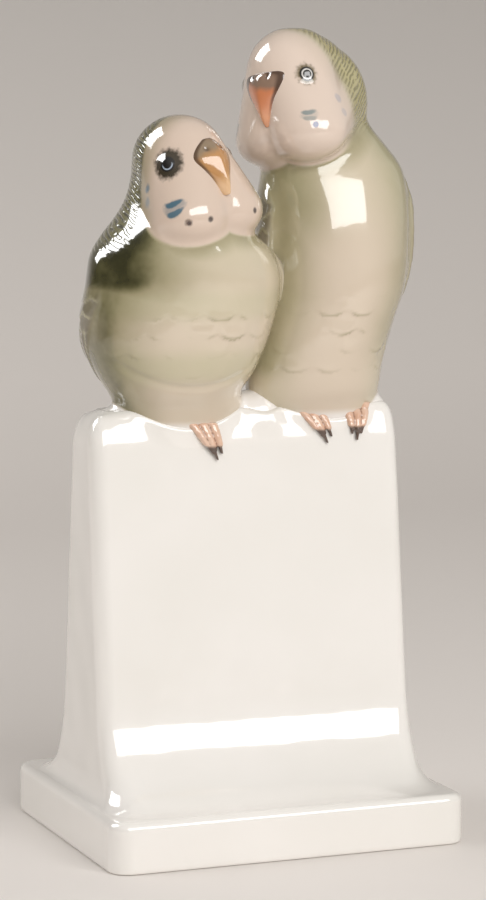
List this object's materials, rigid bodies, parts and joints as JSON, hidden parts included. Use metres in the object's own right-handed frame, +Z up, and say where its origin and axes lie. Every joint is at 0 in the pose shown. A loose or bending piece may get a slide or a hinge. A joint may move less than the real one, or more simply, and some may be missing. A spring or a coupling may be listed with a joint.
{
  "type": "parrot figurine",
  "caption": "Glazed porcelain figurine of budgerigars cuddled together on a tall pedestal with a flared foot and a square plinth, hollow and slip cast in one piece.",
  "frame": {"origin": "on the table, at the bottom centre of the bounding box. The plinth's own centre is 0.6 mm to the -X side of it, because the right bird's flank stands out past the plinth.", "axes": "+Z up through the birds' heads, -Y towards the front, the side that the birds' breasts and toes face, +X to the viewer's right, the side of the taller bird"},
  "size_m": [0.086, 0.0724, 0.1845],
  "materials": {
    "glazed_porcelain": "high gloss clear glaze over airbrushed underglaze colours"
  },
  "bodies": {
    "root": {"parrot_figurine": "glazed_porcelain"}
  },
  "joints": []
}
